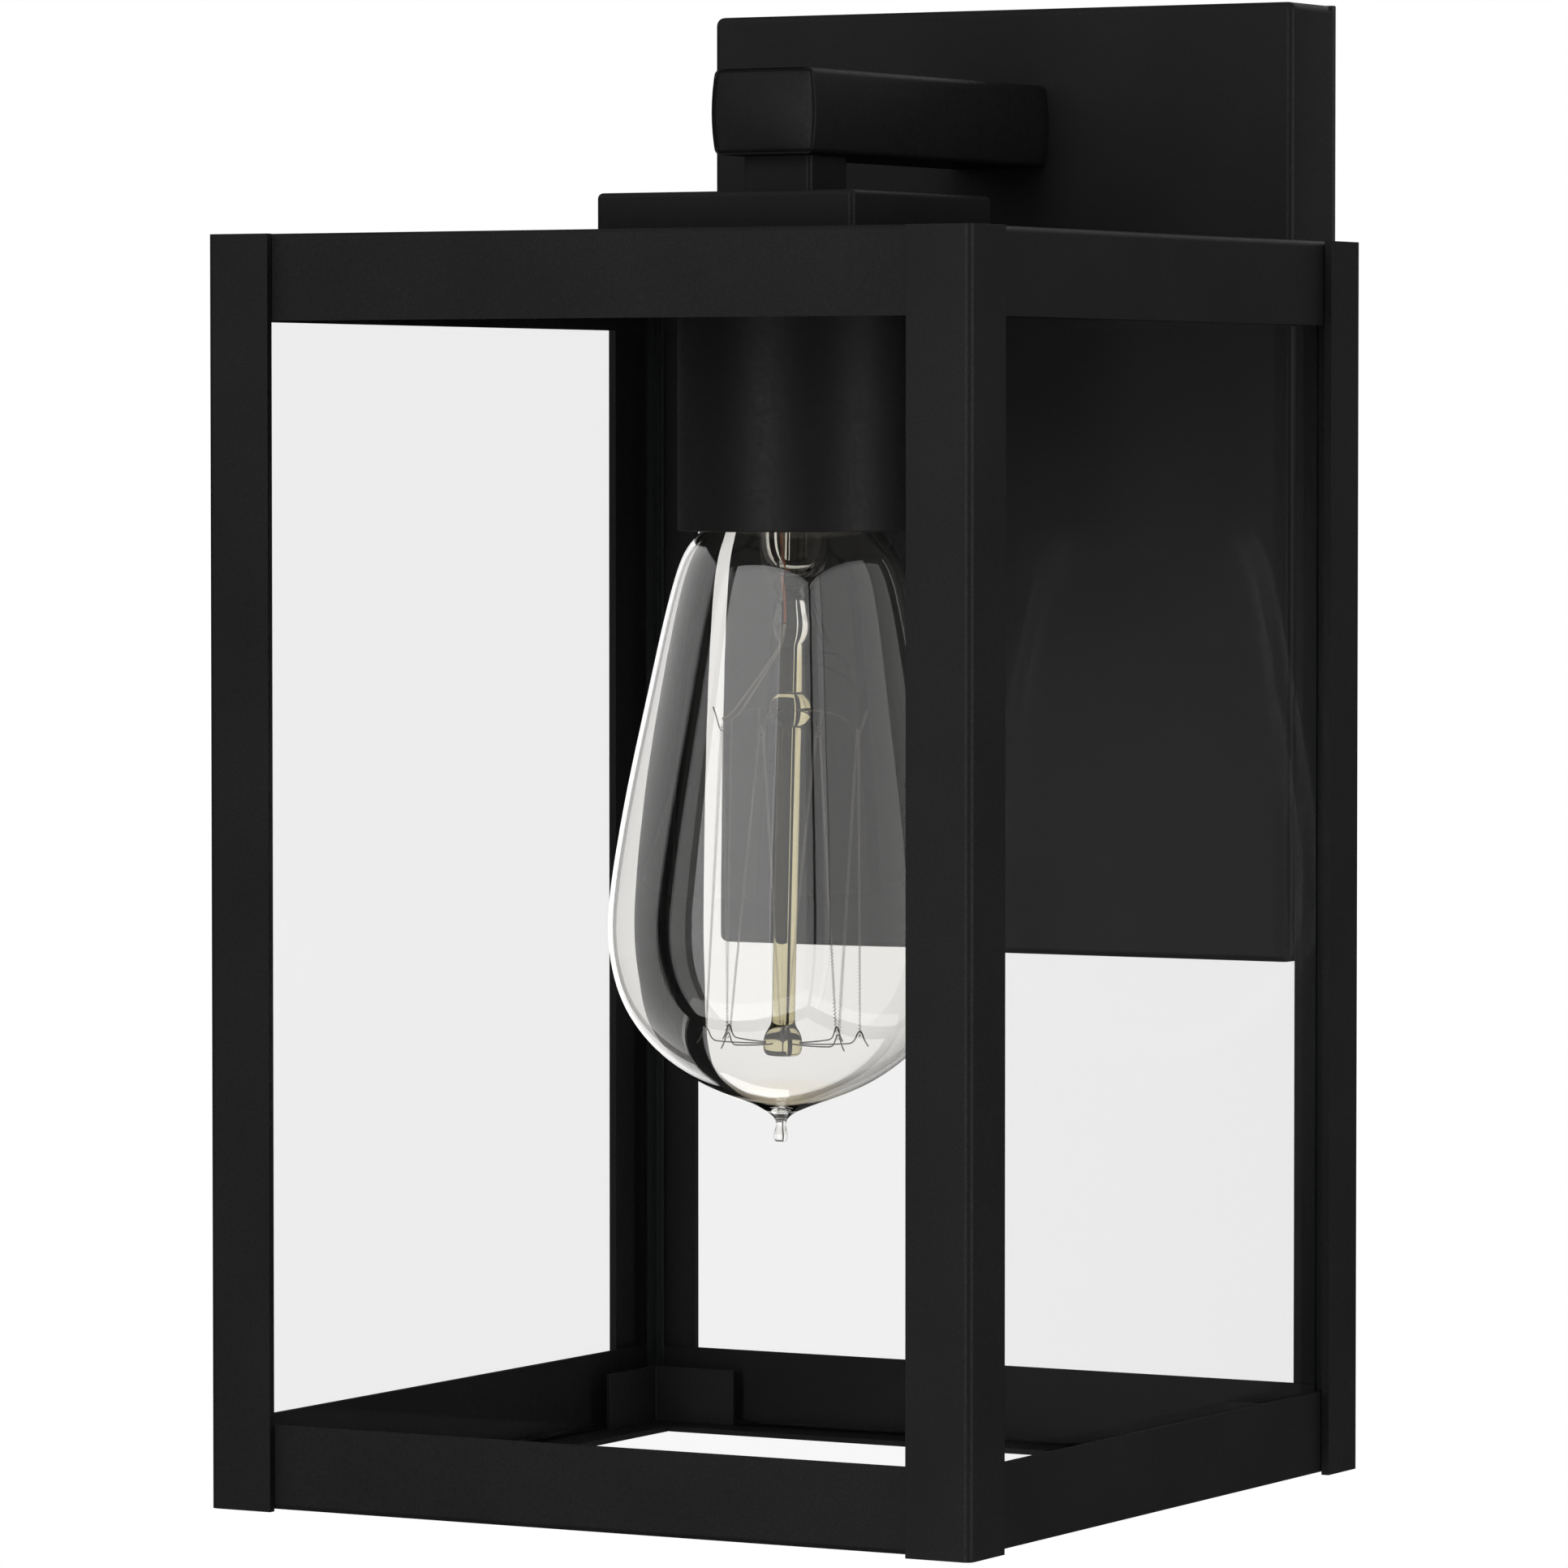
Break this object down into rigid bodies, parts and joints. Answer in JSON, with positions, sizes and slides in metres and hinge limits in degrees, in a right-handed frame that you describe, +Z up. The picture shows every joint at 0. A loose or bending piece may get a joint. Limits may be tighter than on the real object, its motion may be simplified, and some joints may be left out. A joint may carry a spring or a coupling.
{
  "type": "outdoor wall lantern",
  "caption": "Square black steel wall lantern with clear glass panes and an open bottom, hung from a backplate by a short arm, with a pear-shaped vintage bulb.",
  "frame": {"origin": "centre of the backplate's footprint on the wall, in the wall plane y = 0", "axes": "+Z up, +Y into the wall so the lantern stands out towards -Y, +X to the right as seen by someone facing the wall"},
  "size_m": [0.1524, 0.1729, 0.2699],
  "materials": {
    "black_powder_coat": "satin black powder coat",
    "clear_glass": "clear polished",
    "bulb_glass": "clear blown",
    "zinc_steel": "bright zinc plate",
    "green_screw": "green dye on steel",
    "rubber": "matt",
    "porcelain": "glazed porcelain",
    "brass": "stamped",
    "base_brass": "nickel-washed, rolled",
    "solder": "dull solder",
    "black_vitrite": "black glass insulator",
    "filament_wire": "dark drawn wire",
    "nickel_wire": "nickel wire",
    "black_insulation": "satin",
    "white_insulation": "satin",
    "orange_nylon": "moulded",
    "copper": "bare copper"
  },
  "bodies": {
    "lantern": {"post_front_left": "black_powder_coat", "post_front_right": "black_powder_coat", "post_rear_right": "black_powder_coat", "post_rear_left": "black_powder_coat", "bottom_rail_front": "black_powder_coat", "bottom_rail_right": "black_powder_coat", "bottom_rail_rear": "black_powder_coat", "bottom_rail_left": "black_powder_coat", "roof_pan": "black_powder_coat", "bottom_clip_front_left": "black_powder_coat", "bottom_clip_front_right": "black_powder_coat", "bottom_clip_rear_right": "black_powder_coat", "bottom_clip_rear_left": "black_powder_coat", "top_clip_front_left": "black_powder_coat", "top_clip_front_right": "black_powder_coat", "top_clip_rear_right": "black_powder_coat", "top_clip_rear_left": "black_powder_coat", "top_cap": "black_powder_coat", "neck": "black_powder_coat", "arm": "black_powder_coat", "backplate": "black_powder_coat", "socket_cup": "black_powder_coat", "side_screw_left": "black_powder_coat", "side_screw_right": "black_powder_coat", "glass_pane_front": "clear_glass", "glass_pane_right": "clear_glass", "glass_pane_rear": "clear_glass", "glass_pane_left": "clear_glass", "threaded_stem": "zinc_steel", "lock_washer": "zinc_steel", "stem_nut": "zinc_steel", "socket_strap": "zinc_steel", "mounting_bracket": "zinc_steel", "arm_screw_left": "zinc_steel", "arm_screw_right": "zinc_steel", "ground_screw": "green_screw", "seal_washer": "rubber", "wall_gasket": "rubber", "wire_bushing": "rubber", "socket_body": "porcelain", "screw_shell": "brass", "centre_contact": "brass", "lead_live": "black_insulation", "lead_neutral": "white_insulation", "wire_connector_live": "orange_nylon", "wire_connector_neutral": "orange_nylon", "ground_wire": "copper", "ground_lug": "copper"},
    "bulb_feed_body": {"bulb_tip_contact": "solder"},
    "bulb": {"bulb_base_shell": "base_brass", "bulb_insulator": "black_vitrite", "bulb_glass": "bulb_glass", "glass_stem": "bulb_glass", "upper_supports": "filament_wire", "lower_supports": "filament_wire", "filament": "filament_wire", "bulb_lead_a": "nickel_wire", "bulb_lead_b": "nickel_wire"}
  },
  "joints": [
    {"name": "bulb_feed", "type": "slide", "parent": "lantern", "child": "bulb_feed_body", "axis": [0, 0, -1], "range_m": [0, 0.0146]},
    {"name": "bulb_turn", "type": "hinge", "parent": "bulb_feed_body", "child": "bulb", "pos_m": [0, -0.0967, 0], "axis": [0, 0, -1], "range_deg": [0, 1440]}
  ],
  "couplings": [
    {"joint": "bulb_feed", "follows": "bulb_turn", "m_per_rad": 0.0005775}
  ]
}
